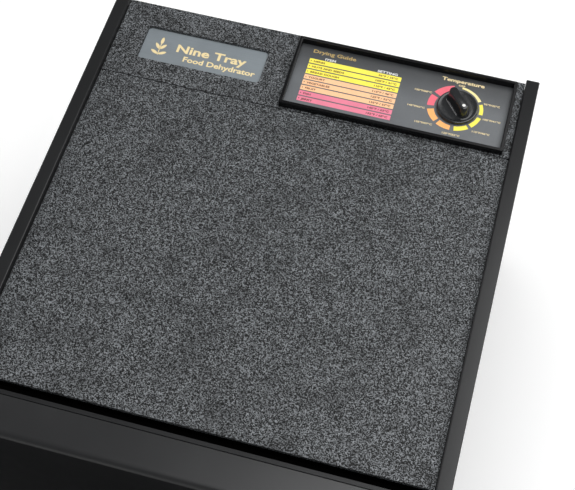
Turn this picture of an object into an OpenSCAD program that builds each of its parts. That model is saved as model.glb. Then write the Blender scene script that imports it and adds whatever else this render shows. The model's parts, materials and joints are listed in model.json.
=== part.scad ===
// Nine-tray box dehydrator: a rear fan blows warm air across a stack of mesh trays.
// +Z is up, the door faces -Y, and the origin is under the middle of the footprint.

/* [Case] */
// Width across the two side panels
case_w = 432; // [420:1:560]
// Depth from the door's face to the rear edge
case_d = 482.6; // [470:0.1:620]
// Height of the side rails above the table
case_h = 318; // [310:1:420]
// Height of the rubber feet
foot_h = 6; // [4:0.5:12]
// Thickness of the side walls
side_wall = 4; // [2.5:0.5:6]
// Thickness of the floor panel
floor_t = 3; // [2:0.5:5]
// Thickness of the ledges that carry the panels
ledge_t = 3; // [2:0.5:4]
// Clearance between pieces that are fitted together
fit_gap = 0.3; // [0.2:0.05:0.5]

/* [Rails and top] */
// Width of the rail along each side of the top
rail_w = 13; // [10:0.5:20]
// Height of the rails above the grained top
rail_rise = 6; // [3:0.5:9]
// Radius of the rail's long edges
rail_round = 1.2; // [0.5:0.1:2]
// Thickness of the top panel and of the hood
top_t = 4; // [3:0.5:6]
// Width of the smooth border beside the grained field
border_w = 4.5; // [2:0.5:8]
// Height of the grained field above its border
grain_h = 0.6; // [0.3:0.1:1]
// Depth of the hood at the rear
hood_d = 93.3; // [88:0.1:110]
// Width of the seam between the top panel and the hood
seam_w = 0.8; // [0.4:0.1:2]

/* [Front] */
// Width of the channel behind the front lip
channel_w = 8.8; // [5:0.1:14]
// Depth of that channel below the top
channel_depth = 13; // [8:1:18]
// Width of the front lip
lip_w = 3.8; // [3:0.1:6]
// Gap between the case and the closed door
door_gap = 0.4; // [0.3:0.1:1]
// Depth of the door, front face to rear edge
door_d = 35.8; // [25:0.1:45]
// Wall thickness of the door
door_wall = 3.5; // [2.5:0.5:5]
// Radius of the door's upper front edge
door_round = 7; // [4:0.5:10]
// Length of the spigot that locates the door
spigot_len = 8; // [5:0.5:12]

/* [Trays] */
// Side of each square tray
tray_w = 381; // [360:1:385]
// Height of a tray's rim
tray_h = 8; // [6:0.5:12]
// Width of a tray's rim
tray_rim = 12; // [8:1:20]
// Windows across a tray
tray_windows = 8; // [8:1:12]
// Width of the bars between the windows
tray_bar = 3; // [2:0.5:5]
// Height of the bars that carry the screen
grid_h = 4; // [3:0.5:5]
// Thickness of a mesh screen
screen_t = 1; // [0.8:0.1:1.5]
// Height of the lowest shelf above the table
first_shelf_z = 24; // [20:1:40]
// Spacing of the shelves
tray_pitch = 29.5; // [20:0.5:30]
// Thickness of a shelf
shelf_t = 3; // [2:0.5:4]
// Width of tray that rests on a shelf
shelf_bite = 4.5; // [3:0.5:8]
// Side play of a tray between its guides
tray_play = 1; // [0.5:0.1:2]

/* [Controls] */
// Length of the control bezel
bezel_w = 219; // [190:1:240]
// Depth of the control bezel
bezel_d = 85.8; // [80:0.1:87]
// Height of the bezel above the top
bezel_h = 7.7; // [4:0.1:10]
// Width of the bezel's bars
bezel_bar = 3.2; // [2:0.1:5]
// Distance from the bezel to the right rail
bezel_inset = 7.2; // [4:0.1:20]
// Distance from the bezel to the rear edge
bezel_back = 5.9; // [3:0.1:6]
// Thickness of the control panel
panel_t = 2; // [1.5:0.1:2.5]
// Knob axis from the inside of the bezel's right bar
knob_from_right = 48.5; // [40:0.5:60]
// Knob axis from the inside of the bezel's rear bar
knob_from_back = 39.2; // [35:0.1:45]
// Radius of the knob's skirt
knob_r = 20; // [16:0.5:21]
// Height of the knob above the control panel
knob_h = 17.3; // [12:0.1:22]
// Thickness of the knob's skirt
knob_skirt = 3; // [2:0.1:5]
// Gap under the knob's skirt
knob_lift = 1; // [0.5:0.1:2]
// Half width of the grip at its foot
grip_foot = 6; // [4:0.1:8]
// Half width of the grip at its top
grip_top = 3.9; // [3:0.1:6]
// Turn of the grip from the direction of +X
grip_turn = -51.5; // [-180:0.5:180]
// Length of the badge plate
badge_w = 125; // [80:1:140]
// Depth of the badge plate
badge_d = 41.5; // [30:0.5:60]
// Corner radius of the badge plate
badge_r = 4; // [2:0.5:8]
// Distance from the badge to the rear edge
badge_back = 28; // [20:0.5:40]
// Distance from the badge to the left side of the case
badge_left = 41.5; // [30:0.5:60]
// Thickness of the badge plate
badge_t = 1; // [0.8:0.1:2]
// Depth of the badge below the top
badge_sink = 3; // [1:0.5:3.5]

/* [Fan and heat] */
// Depth of the space behind the baffle
plenum_d = 51; // [50:0.5:62]
// Thickness of the sheet-metal pieces
sheet_t = 1.5; // [1:0.1:2]
// Radius of the fan
fan_r = 88; // [70:1:92]
// Number of fan blades
blade_count = 5; // [3:1:8]
// Pitch of the blades
blade_pitch = 32; // [20:1:40]
// Depth of the fan's hub
hub_len = 18; // [16:0.5:20]
// Clearance between the blades and the shroud
tip_gap = 3; // [2:0.5:5]
// Radius of the motor shaft
shaft_r = 3; // [2.5:0.1:4]
// Clearance of a shaft in its bearing
run_gap = 0.05; // [0.03:0.01:0.08]
// Width of the motor's iron stack
stack_w = 62; // [56:1:70]
// Height of the motor's iron stack
stack_h = 62; // [58:1:70]
// Thickness of the motor's iron stack
stack_t = 14; // [10:1:15]
// Radius of the rotor
rotor_r = 15; // [12:0.5:17]
// Radius of the heater's ring
heater_ring_r = 102; // [98:1:106]
// Radius of the heater's tube
heater_r = 3.2; // [2.5:0.1:4]
// Radius of the cord inlet's hole
inlet_r = 3.6; // [3:0.1:5]

/* [Hidden] */
TRAYS = [1, 2, 3, 4, 5, 6, 7, 8, 9];

$fn = 48;
eps = 0.01;
// How far a cut runs past the face that it opens
cut = 1;

// Planes of the case
half_w = case_w / 2;
y_back = case_d / 2;
y_door = -case_d / 2;
y_lip = y_door + door_d + door_gap;
y_channel = y_lip + lip_w;
y_top_front = y_channel + channel_w;
y_hood = y_back - hood_d;
top_z = case_h - rail_rise;
plate_z = top_z - top_t;
rail_low_z = plate_z - ledge_t;
wall_x = half_w - side_wall;
rail_x = half_w - rail_w;
top_x = rail_x - fit_gap;
inner_x = wall_x - fit_gap;
floor_low_z = foot_h + ledge_t;
floor_top_z = floor_low_z + floor_t;

// Ledges of the side panels
ledge_w = 6;
flange_w = 12;
flange_t = 6;

// Rear wall, which sits inside the side panels
cover_t = 2;
cover_inset = 3;
y_cover = y_back - cover_inset;
y_cover_in = y_cover - cover_t;
y_baffle_back = y_cover_in - plenum_d;
y_baffle = y_baffle_back - sheet_t;
skirt_h = 18;
lap_w = 8;

// Control compartment under the hood
shelf_room = 22;
compartment_z = plate_z - shelf_room;

// Shelves and trays
tray_half = tray_w / 2;
shelf_x = tray_half - shelf_bite;
guide_x = tray_half + tray_play;
guide_t = 2.5;
guide_h = 7;
tray_clear = 2;
y_tray = y_baffle - tray_clear - tray_w;
tray_corner = 6;
tray_open = tray_w - 2 * tray_rim;
window = (tray_open - (tray_windows - 1) * tray_bar) / tray_windows;
screen_w = tray_open - 2;
screen_corner = 3;

// Front frame and the spigot that the door fits over
frame_in_x = guide_x + 1;
opening_low_z = first_shelf_z - shelf_t - 3;
channel_z = top_z - channel_depth;
frame_t = 3;
spigot_t = 3;
door_low_z = foot_h + 2;
spigot_x = half_w - door_wall - fit_gap;
spigot_low_z = door_low_z + door_wall + fit_gap;
spigot_top_z = top_z - door_wall - fit_gap;
door_corner = 4;

// Exhaust slots in the door's lower flange
exhaust_count = 12;
exhaust_w = 22;
exhaust_d = 10;
exhaust_pitch = 30;
exhaust_y = (y_door + y_lip - spigot_len) / 2;

// Controls
bezel_x = rail_x - bezel_inset - bezel_w;
bezel_y = y_back - bezel_back - bezel_d;
knob_x = bezel_x + bezel_w - bezel_bar - knob_from_right;
knob_y = bezel_y + bezel_d - bezel_bar - knob_from_back;
bezel_r = 1.5;
panel_lap = 1.5;
panel_x = bezel_x + bezel_bar - panel_lap;
panel_y = bezel_y + bezel_bar - panel_lap;
panel_w = bezel_w - 2 * bezel_bar + 2 * panel_lap;
panel_d = bezel_d - 2 * bezel_bar + 2 * panel_lap;
badge_x = -half_w + badge_left;
badge_y = y_back - badge_back - badge_d;
badge_z = top_z - badge_sink - badge_t;
badge_rim = 3;
badge_floor = 2.5;

// Thermostat
stat_bush_r = 4.8;
stat_w = 36;
stat_d = 30;
stat_h = 14;
nut_h = 2;
nut_r = 7;
bush_over = 0.4;
skirt_z = top_z + knob_lift;
nut_room = 1.5;
nut_room_z = top_z + nut_h + bush_over + 0.4;
shaft_top_z = top_z + knob_h - 5;
shaft_low_z = plate_z - 10;
grip_reach = 9.4;
grip_z = skirt_z + knob_skirt;
knob_chamfer = 0.8;
tab_w = 6;
tab_t = 0.8;
tab_h = 5;
stat_tab_x = 8;

// Fan and motor, along the fan's axis
fan_z = 149;
y_stack = y_baffle_back + 7;
plate_t = 2;
boss_r = 4.5;
hub_y = y_stack + stack_t + 7.5;
hub_r = 13;
blade_t = 1.6;
blade_chord = 24;
shroud_in = fan_r + tip_gap;
shroud_t = 2.5;
shroud_flange = 18;
shroud_lip = 2;
shroud_len = 28;
shaft_start = y_baffle_back + 0.8;
retainer_h = 2.5;
retainer_r = 7;
retainer_y = hub_y + hub_len;
bearing_r = 6;
bearing_len = 4;
rotor_air = 0.6;
rotor_end = 0.6;
stack_drop = 8;
limb_h = 10;
stack_low_z = fan_z - stack_drop - stack_h / 2;
coil_w = 26;
coil_wall = 4.5;
coil_room = 1;
bolt_r = 1.6;
bolt_x = stack_w / 2 - 6;
bolt_z = [stack_low_z + 6, stack_low_z + stack_h - 6];
bolt_nut_r = 3.4;
bolt_nut_h = 2.4;

// Baffle slots, one row for the gap above each tray
slot_w = 32;
slot_h = 8;
slot_pitch = 44;
slot_columns = [-3.5, -2.5, -1.5, -0.5, 0.5, 1.5, 2.5, 3.5];
slot_rise = 15;
motor_keep = 58;
clip_keep = 24;

// Heater
heater_y = y_baffle_back + 15;
heater_gap = 24;
clip_w = 8;
clip_d = 12;
clip_over = 3;
clip_turns = [0, 90, 180];
leg_len = 20;
sleeve_r = heater_r + 1.8;
sleeve_h = 9;
pin_r = 1.5;
cutout_r = 8;
cutout_h = 6;
cutout_tab_x = 4;
cutout_x = -110;
cutout_z = first_shelf_z + 2 * tray_pitch;

// Screws
screw_r = 1.6;
screw_play = 0.05;
screw_head_r = 3.6;
screw_head_h = 1.6;
screw_hole = 8;
cover_screw_len = 7;
shroud_screw_len = 6;
cover_screw_x = wall_x - flange_w / 2;
cover_screw_z = [32, 110, 200, 280];
shroud_screw_r = shroud_in + shroud_t + shroud_flange / 2;
shroud_screw_turns = [45, 135, 225, 315];

// Feet
foot_r = 11;
foot_x = half_w - 34;
foot_ys = [y_lip + 40, y_back - 40];
foot_recess_r = 4;
foot_recess_h = 3.8;

// Cord inlet and terminals
inlet_x = -165;
inlet_z = 46;
gland_body_r = 8;
gland_flange_r = 12;
gland_len = 10;
gland_nut_h = 4;
gland_nut_r = 13;
block_z = 96;
block_w = 20;
block_h = 44;
block_d = 16;
block_hole_r = 2;
block_hole_pitch = 14;

// Air inlet grille: rings of curved slots
grille_rings = [24, 38, 52, 66, 80];
grille_slot = 7;
grille_parts = 6;
grille_rib = 5;

// Wires, each a list of points held along its way
wire_r = 1.3;
wire_y = y_cover_in - 10;
wire_top_z = compartment_z + 8;
wire_low_z = floor_top_z + 8;
wire_turn = 4;
leg_x = heater_ring_r * sin(heater_gap / 2);
leg_z = fan_z - heater_ring_r * cos(heater_gap / 2);
pin_z = leg_z - leg_len;
stat_low_z = plate_z - stat_h;
tab_z = stat_low_z - tab_h + wire_r + fit_gap;
tab_y = knob_y + tab_t / 2;
riser_x = inlet_x + block_w / 2 + 12;
WIRES = [
    [[inlet_x, wire_y, inlet_z], [inlet_x, wire_y - wire_turn, inlet_z + 2 * wire_turn],
        [inlet_x, wire_y, inlet_z + 4 * wire_turn], [inlet_x, wire_y, block_z - block_h / 2]],
    [[inlet_x, wire_y, block_z + block_h / 2], [inlet_x, wire_y, wire_top_z],
        [knob_x - stat_tab_x, wire_y, wire_top_z], [knob_x - stat_tab_x, wire_y - wire_turn, tab_z],
        [knob_x - stat_tab_x, tab_y, tab_z]],
    [[knob_x + stat_tab_x, tab_y, tab_z], [knob_x + stat_tab_x, wire_y, tab_z],
        [knob_x + stat_tab_x, wire_y, wire_low_z], [leg_x, heater_y + 3 * wire_turn, wire_low_z],
        [leg_x, heater_y, pin_z - wire_turn], [leg_x, heater_y, pin_z]],
    [[-leg_x, heater_y, pin_z], [-leg_x, heater_y, pin_z - wire_turn],
        [-leg_x, heater_y + 3 * wire_turn, wire_low_z], [riser_x, wire_y, wire_low_z],
        [riser_x, wire_y, block_z], [inlet_x + block_w / 2, wire_y, block_z]]
];

function shelf_z(i) = first_shelf_z + (i - 1) * tray_pitch;
function clip_at(turn) = [heater_ring_r * cos(turn), fan_z + heater_ring_r * sin(turn)];
function clear_of_clips(p) = min([for (t = clip_turns) norm(p - clip_at(t))]) > clip_keep;
function clear_of_motor(p) = norm(p - [0, fan_z - stack_drop]) > motor_keep;

// ---- helpers ----

// Rectangle with rounded corners, its lower corner at the origin
module round_rect(w, d, r) {
    translate([r, 0]) square([w - 2 * r, d]);
    translate([0, r]) square([w, d - 2 * r]);
    for (x = [r, w - r], y = [r, d - r]) translate([x, y]) circle(r);
}

// Solid of a section in X and Z, from y0 to y1
module section_y(y0, y1) {
    translate([0, y1, 0]) rotate([90, 0, 0]) linear_extrude(y1 - y0) children();
}

// Solid of a section in Y and Z, from x0 to x1
module section_x(x0, x1) {
    translate([x0, 0, 0]) rotate([90, 0, 90]) linear_extrude(x1 - x0) children();
}

// Box between two corners
module box(a, b) {
    translate(a) cube(b - a);
}

// Cylinder along +Y from a point
module rod_y(p, len, r) {
    translate(p) rotate([-90, 0, 0]) cylinder(h = len, r = r);
}

// Turns its children about the fan's axis
module about_fan(turn) {
    translate([0, 0, fan_z]) rotate([0, -turn, 0]) children();
}

// Pan-head screw along -Y, its head's seat at the point
module screw_y(p, len) {
    rod_y(p, screw_head_h, screw_head_r);
    rod_y(p - [0, len, 0], len + eps, screw_r - screw_play);
}

// Eight-sided wire from one point to the next, each run a little into the one before
module wire_run(points) {
    for (i = [0 : len(points) - 2]) {
        a = points[i];
        d = points[i + 1] - a;
        span = norm(d);
        back = i == 0 ? 0 : 0.8 * wire_r;
        translate(a) rotate([0, acos(d.z / span), atan2(d.y, d.x)]) translate([0, 0, -back])
            cylinder(h = span + back, r = wire_r, $fn = 8);
    }
}

// ---- case ----

// Wall, rail and the ledges that run the whole depth
module side_wall_section() {
    translate([wall_x, foot_h]) square([side_wall, rail_low_z - foot_h + ledge_t]);
    translate([rail_x, rail_low_z]) {
        round_rect(rail_w, case_h - rail_low_z, rail_round);
        square([rail_w, ledge_t]);
    }
    translate([wall_x - flange_w, foot_h]) square([flange_w + eps, ledge_t]);
}

// Nine shelves, each with an upright guide
module shelves_section() {
    for (i = TRAYS) {
        translate([shelf_x, shelf_z(i) - shelf_t]) square([wall_x - shelf_x + eps, shelf_t]);
        translate([guide_x, shelf_z(i) - eps]) square([guide_t, guide_h + eps]);
    }
}

module side_panel() {
    difference() {
        union() {
            section_y(y_lip, y_back) side_wall_section();
            section_y(y_channel + fit_gap, y_baffle - fit_gap) shelves_section();
            box([rail_x - ledge_w, y_top_front + frame_t + fit_gap, rail_low_z],
                [rail_x + eps, y_cover_in, plate_z]);
            box([wall_x - flange_w, y_cover_in - flange_t, floor_top_z + fit_gap],
                [wall_x + eps, y_cover_in, rail_low_z + eps]);
        }
        for (z = cover_screw_z) rod_y([cover_screw_x, y_cover - screw_hole, z], screw_hole, screw_r);
    }
}

module side_panel_right() {
    color("#1c1d1e") side_panel();
}

module side_panel_left() {
    color("#1c1d1e") mirror([1, 0, 0]) side_panel();
}

module top_panel() {
    field = top_x - border_w;
    color("#5a5c60") {
        box([-top_x, y_top_front, plate_z], [top_x, y_hood - seam_w, top_z - grain_h]);
        box([-field, y_top_front, plate_z], [field, y_hood - seam_w, top_z]);
    }
}

// Floor sheet on the side ledges, with a pad over each foot
module bottom_panel() {
    color("#26272a") difference() {
        union() {
            box([-inner_x, y_channel + fit_gap, floor_low_z],
                [inner_x, y_cover_in - fit_gap, floor_top_z]);
            for (sx = [-1, 1], y = foot_ys)
                translate([sx * foot_x, y, foot_h]) cylinder(h = ledge_t + eps, r = foot_r);
        }
        for (sx = [-1, 1], y = foot_ys)
            translate([sx * foot_x, y, foot_h - eps])
                cylinder(h = ledge_t + floor_t + cut, r = screw_r);
    }
}

module rear_hood() {
    color("#5a5c60") difference() {
        union() {
            box([-top_x, y_hood, plate_z], [top_x, y_back, top_z]);
            box([ledge_w - rail_x + fit_gap, y_hood - lap_w, rail_low_z],
                [rail_x - ledge_w - fit_gap, y_hood + 3 * sheet_t, plate_z]);
            box([ledge_w - rail_x + fit_gap, y_cover + fit_gap, plate_z - skirt_h],
                [rail_x - ledge_w - fit_gap, y_back, plate_z + eps]);
            box([badge_x - badge_rim, badge_y - badge_rim, badge_z - badge_floor],
                [badge_x + badge_w + badge_rim, badge_y + badge_d + badge_rim, plate_z + eps]);
        }
        translate([badge_x - fit_gap / 2, badge_y - fit_gap / 2, badge_z])
            linear_extrude(top_t + cut) round_rect(badge_w + fit_gap, badge_d + fit_gap, badge_r);
        box([panel_x - fit_gap / 2, panel_y - fit_gap / 2, top_z - panel_t],
            [panel_x + panel_w + fit_gap / 2, panel_y + panel_d + fit_gap / 2, top_z + cut]);
        translate([knob_x, knob_y, rail_low_z]) cylinder(h = 2 * top_t, r = stat_bush_r + fit_gap);
    }
}

// Ring round the tray opening, with the lip, the channel and the door's spigot
module front_frame() {
    color("#2a2b2d") {
        difference() {
            union() {
                box([-inner_x, y_lip, floor_low_z + fit_gap], [inner_x, y_channel, rail_low_z - fit_gap]);
                box([-top_x, y_lip, rail_low_z - fit_gap - eps], [top_x, y_channel, top_z]);
            }
            box([-frame_in_x, y_lip - cut, opening_low_z],
                [frame_in_x, y_channel + cut, channel_z - frame_t]);
        }
        box([-top_x, y_channel - eps, channel_z - frame_t], [top_x, y_top_front + frame_t, channel_z]);
        box([-top_x, y_top_front, channel_z - eps], [top_x, y_top_front + frame_t, plate_z]);
        difference() {
            box([-spigot_x, y_lip - spigot_len, spigot_low_z], [spigot_x, y_lip + eps, spigot_top_z]);
            box([spigot_t - spigot_x, y_lip - spigot_len - cut, spigot_low_z + spigot_t],
                [spigot_x - spigot_t, y_lip + cut, spigot_top_z - spigot_t]);
        }
    }
}

// Outline of the door from the side, with its soft upper front edge
module door_side_section() {
    y_rear = y_door + door_d;
    translate([y_door + door_round, door_low_z]) square([door_d - door_round, top_z - door_low_z]);
    translate([y_door, door_low_z]) square([door_d, top_z - door_low_z - door_round]);
    translate([y_door + door_round, top_z - door_round]) circle(door_round);
}

// Hollow door, open to the rear, with air slots along its lower flange
module door_panel() {
    color("#141516") difference() {
        intersection() {
            section_x(-half_w, half_w) door_side_section();
            translate([-half_w, y_door, 0]) linear_extrude(case_h) {
                round_rect(case_w, door_d - door_corner, door_corner);
                translate([0, door_corner]) square([case_w, door_d - door_corner]);
            }
        }
        box([door_wall - half_w, y_door + door_wall, door_low_z + door_wall],
            [half_w - door_wall, y_lip, top_z - door_wall - door_round / 2]);
        box([door_wall - half_w, y_door + door_wall + door_round / 2, top_z - door_wall - door_round],
            [half_w - door_wall, y_lip, top_z - door_wall]);
        for (i = [0 : exhaust_count - 1]) {
            x = (i - (exhaust_count - 1) / 2) * exhaust_pitch;
            translate([x - exhaust_w / 2, exhaust_y - exhaust_d / 2, door_low_z - cut])
                cube([exhaust_w, exhaust_d, door_wall + 2 * cut]);
        }
    }
}

// ---- controls ----

module badge_plate() {
    color("#76808c") translate([badge_x, badge_y, badge_z])
        linear_extrude(badge_t) round_rect(badge_w, badge_d, badge_r);
}

module control_bezel() {
    color("#0e0f10") difference() {
        translate([bezel_x, bezel_y, top_z])
            linear_extrude(bezel_h) round_rect(bezel_w, bezel_d, bezel_r);
        box([bezel_x + bezel_bar, bezel_y + bezel_bar, top_z - cut],
            [bezel_x + bezel_w - bezel_bar, bezel_y + bezel_d - bezel_bar, top_z + bezel_h + cut]);
    }
}

module control_panel() {
    color("#4a4e54") difference() {
        box([panel_x, panel_y, top_z - panel_t], [panel_x + panel_w, panel_y + panel_d, top_z]);
        translate([knob_x, knob_y, plate_z]) cylinder(h = 2 * top_t, r = stat_bush_r + fit_gap);
    }
}

// Round skirt with a tall, tapered grip across it
module temperature_knob() {
    color("#0e0f10") translate([knob_x, knob_y, 0]) difference() {
        union() {
            translate([0, 0, skirt_z]) cylinder(h = knob_skirt - knob_chamfer, r = knob_r);
            translate([0, 0, grip_z - knob_chamfer])
                cylinder(h = knob_chamfer, r1 = knob_r, r2 = knob_r - knob_chamfer);
            rotate(grip_turn) hull() for (s = [-1, 1])
                translate([s * grip_reach, 0, grip_z - eps])
                    cylinder(h = top_z + knob_h - grip_z, r1 = grip_foot, r2 = grip_top, $fn = 32);
        }
        translate([0, 0, skirt_z - cut])
            cylinder(h = nut_room_z - skirt_z + cut, r = nut_r + nut_room);
        translate([0, 0, skirt_z]) cylinder(h = shaft_top_z - skirt_z, r = shaft_r + run_gap);
    }
}

// Switch box under the hood, its bush, and four terminal tabs below
module thermostat_body() {
    color("#c9c4b4") difference() {
        union() {
            box([knob_x - stat_w / 2, knob_y - stat_d / 2, stat_low_z],
                [knob_x + stat_w / 2, knob_y + stat_d / 2, plate_z]);
            translate([knob_x, knob_y, stat_low_z])
                cylinder(h = top_z + nut_h + bush_over - stat_low_z, r = stat_bush_r);
            for (sx = [-1, 1])
                box([knob_x + sx * stat_tab_x - tab_w / 2, knob_y - tab_t / 2, stat_low_z - tab_h],
                    [knob_x + sx * stat_tab_x + tab_w / 2, knob_y + tab_t / 2, stat_low_z + eps]);
        }
        translate([knob_x, knob_y, shaft_low_z - fit_gap])
            cylinder(h = case_h - shaft_low_z, r = shaft_r + run_gap);
    }
}

module thermostat_shaft() {
    color("#b9bbbd") translate([knob_x, knob_y, shaft_low_z])
        cylinder(h = shaft_top_z - shaft_low_z - fit_gap, r = shaft_r);
}

module thermostat_nut() {
    color("#b9bbbd") translate([knob_x, knob_y, top_z]) difference() {
        cylinder(h = nut_h, r = nut_r, $fn = 6);
        translate([0, 0, -cut]) cylinder(h = nut_h + 2 * cut, r = stat_bush_r + run_gap);
    }
}

// ---- trays ----

// Square tray: a rim and a grid of bars, without the screen
module tray(i) {
    color("#1f2021") translate([-tray_half, y_tray, shelf_z(i)]) difference() {
        linear_extrude(tray_h) round_rect(tray_w, tray_w, tray_corner);
        translate([tray_rim, tray_rim, grid_h]) cube([tray_open, tray_open, tray_h]);
        for (ix = [0 : tray_windows - 1], iy = [0 : tray_windows - 1])
            translate([tray_rim + ix * (window + tray_bar), tray_rim + iy * (window + tray_bar), -cut])
                cube([window, window, tray_h]);
    }
}

// Flexible screen that lies on a tray's bars
module mesh_screen(i) {
    color("#3a3c3e") translate([-screen_w / 2, y_tray + (tray_w - screen_w) / 2, shelf_z(i) + grid_h])
        linear_extrude(screen_t) round_rect(screen_w, screen_w, screen_corner);
}

// ---- air system ----

// Bent sheet: slotted wall behind the trays and the floor of the control compartment
module air_baffle() {
    color("#8d9093") difference() {
        union() {
            box([-inner_x, y_baffle, floor_top_z], [inner_x, y_baffle_back, compartment_z]);
            box([-inner_x, y_hood, compartment_z - sheet_t], [inner_x, y_baffle_back, compartment_z]);
            box([ledge_w - rail_x + fit_gap, y_hood, compartment_z - eps],
                [rail_x - ledge_w - fit_gap, y_hood + sheet_t, rail_low_z]);
        }
        for (i = TRAYS, c = slot_columns) {
            p = [c * slot_pitch, shelf_z(i) + slot_rise];
            if (clear_of_motor(p) && clear_of_clips(p))
                translate([p.x - slot_w / 2, y_baffle - cut, p.y - slot_h / 2])
                    cube([slot_w, 2 * sheet_t + cut, slot_h]);
        }
        for (sx = [-1, 1], z = bolt_z)
            rod_y([sx * bolt_x, y_baffle - cut, z], 3 * sheet_t, bolt_r);
    }
}

// Rear wall with a round air grille
module back_cover() {
    color("#232426") difference() {
        box([-inner_x, y_cover_in, floor_low_z + fit_gap], [inner_x, y_cover, rail_low_z - fit_gap]);
        for (r = grille_rings, k = [0 : grille_parts - 1])
            translate([0, y_cover + cut, fan_z]) rotate([90, 0, 0])
                rotate(k * 360 / grille_parts + asin(grille_rib / 2 / r))
                    rotate_extrude(angle = 360 / grille_parts - 2 * asin(grille_rib / 2 / r))
                        translate([r - grille_slot / 2, 0]) square([grille_slot, cover_t + 2 * cut]);
        for (sx = [-1, 1], z = cover_screw_z)
            rod_y([sx * cover_screw_x, y_cover_in - cut, z], cover_t + 2 * cut, screw_r);
        for (t = shroud_screw_turns) about_fan(t)
            rod_y([shroud_screw_r, y_cover_in - cut, 0], cover_t + 2 * cut, screw_r);
        rod_y([inlet_x, y_cover_in - cut, inlet_z], cover_t + 2 * cut, gland_body_r + fit_gap / 2);
    }
}

// Ring round the fan, with a flange on the rear wall
module fan_shroud() {
    color("#b4b7ba") difference() {
        union() {
            rod_y([0, y_cover_in - shroud_len, fan_z], shroud_len, shroud_in + shroud_t);
            rod_y([0, y_cover_in - shroud_lip, fan_z], shroud_lip, shroud_in + shroud_t + shroud_flange);
        }
        rod_y([0, y_cover_in - shroud_len - cut, fan_z], shroud_len + 2 * cut, shroud_in);
        for (t = shroud_screw_turns) about_fan(t)
            rod_y([shroud_screw_r, y_cover_in - shroud_lip - cut, 0], shroud_lip + 2 * cut, screw_r);
    }
}

// Axial fan: flat blades set at a pitch, trimmed to the fan's circle
module fan_blade() {
    mid = hub_y + hub_len / 2;
    color("#c4c6c8") difference() {
        union() {
            rod_y([0, hub_y, fan_z], hub_len, hub_r);
            intersection() {
                for (k = [0 : blade_count - 1]) about_fan(k * 360 / blade_count)
                    translate([0, mid, 0]) rotate([90 - blade_pitch, 0, 0])
                        translate([hub_r - 2, -blade_t / 2, -blade_chord / 2])
                            cube([fan_r, blade_t, blade_chord]);
                rod_y([0, hub_y, fan_z], hub_len, fan_r);
            }
        }
        rod_y([0, hub_y - cut, fan_z], hub_len + 2 * cut, shaft_r + run_gap / 2);
    }
}

module fan_retainer() {
    color("#6f7275") difference() {
        rod_y([0, retainer_y, fan_z], retainer_h, retainer_r);
        rod_y([0, retainer_y - cut, fan_z], retainer_h + 2 * cut, shaft_r + run_gap / 2);
    }
}

// ---- motor ----

module motor_shaft() {
    color("#c8cacc")
        rod_y([0, shaft_start, fan_z], retainer_y + retainer_h - shaft_start, shaft_r);
}

module motor_rotor() {
    y = y_stack + rotor_end;
    color("#8a8d90") difference() {
        rod_y([0, y, fan_z], stack_t - 2 * rotor_end, rotor_r);
        rod_y([0, y - cut, fan_z], stack_t + 2 * cut, shaft_r + run_gap / 2);
    }
}

// Iron stack with the rotor's bore and a window for the winding
module motor_stator() {
    color("#55585b") difference() {
        box([-stack_w / 2, y_stack, stack_low_z], [stack_w / 2, y_stack + stack_t, stack_low_z + stack_h]);
        rod_y([0, y_stack - cut, fan_z], stack_t + 2 * cut, rotor_r + rotor_air);
        box([-coil_w / 2 - coil_room, y_stack - cut, stack_low_z + limb_h],
            [coil_w / 2 + coil_room, y_stack + stack_t + cut,
                stack_low_z + limb_h + coil_wall + coil_room]);
        for (sx = [-1, 1], z = bolt_z)
            rod_y([sx * bolt_x, y_stack - cut, z], stack_t + 2 * cut, bolt_r);
    }
}

// Winding round the lower limb of the stack
module motor_coil() {
    color("#9a4a2a") difference() {
        box([-coil_w / 2, y_stack - coil_wall, stack_low_z - coil_wall],
            [coil_w / 2, y_stack + stack_t + coil_wall, stack_low_z + limb_h + coil_wall]);
        box([-coil_w, y_stack, stack_low_z], [coil_w, y_stack + stack_t, stack_low_z + limb_h]);
    }
}

// Plate that carries a bearing, cut away over the winding
module end_plate(y) {
    difference() {
        box([-stack_w / 2, y, stack_low_z], [stack_w / 2, y + plate_t, stack_low_z + stack_h]);
        box([-coil_w / 2 - coil_room, y - cut, stack_low_z - cut],
            [coil_w / 2 + coil_room, y + plate_t + cut, stack_low_z + limb_h + coil_wall + coil_room]);
        rod_y([0, y - cut, fan_z], plate_t + 2 * cut, bearing_r);
        for (sx = [-1, 1], z = bolt_z) rod_y([sx * bolt_x, y - cut, z], plate_t + 2 * cut, bolt_r);
    }
}

module motor_end_plate_front() {
    color("#a3a6a9") {
        end_plate(y_stack - plate_t);
        for (sx = [-1, 1], z = bolt_z) difference() {
            rod_y([sx * bolt_x, y_baffle_back, z], y_stack - plate_t - y_baffle_back + eps, boss_r);
            rod_y([sx * bolt_x, y_baffle_back - cut, z], y_stack - y_baffle_back, bolt_r);
        }
    }
}

module motor_end_plate_rear() {
    color("#a3a6a9") end_plate(y_stack + stack_t);
}

module bearing(y) {
    difference() {
        rod_y([0, y, fan_z], bearing_len, bearing_r);
        rod_y([0, y - cut, fan_z], bearing_len + 2 * cut, shaft_r + run_gap);
    }
}

module bearing_front() {
    color("#b58b4a") bearing(y_stack - bearing_len);
}

module bearing_rear() {
    color("#b58b4a") bearing(y_stack + stack_t);
}

// Four through bolts with nuts, from the baffle to the rear plate
module motor_bolts() {
    far = y_stack + stack_t + plate_t;
    color("#c8cacc") for (sx = [-1, 1], z = bolt_z) {
        rod_y([sx * bolt_x, y_baffle - screw_head_h, z], screw_head_h, screw_head_r);
        rod_y([sx * bolt_x, y_baffle - eps, z], far + bolt_nut_h - y_baffle, bolt_r - screw_play);
        translate([sx * bolt_x, far, z]) rotate([-90, 0, 0])
            cylinder(h = bolt_nut_h, r = bolt_nut_r, $fn = 6);
    }
}

// ---- heat and wiring ----

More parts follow.
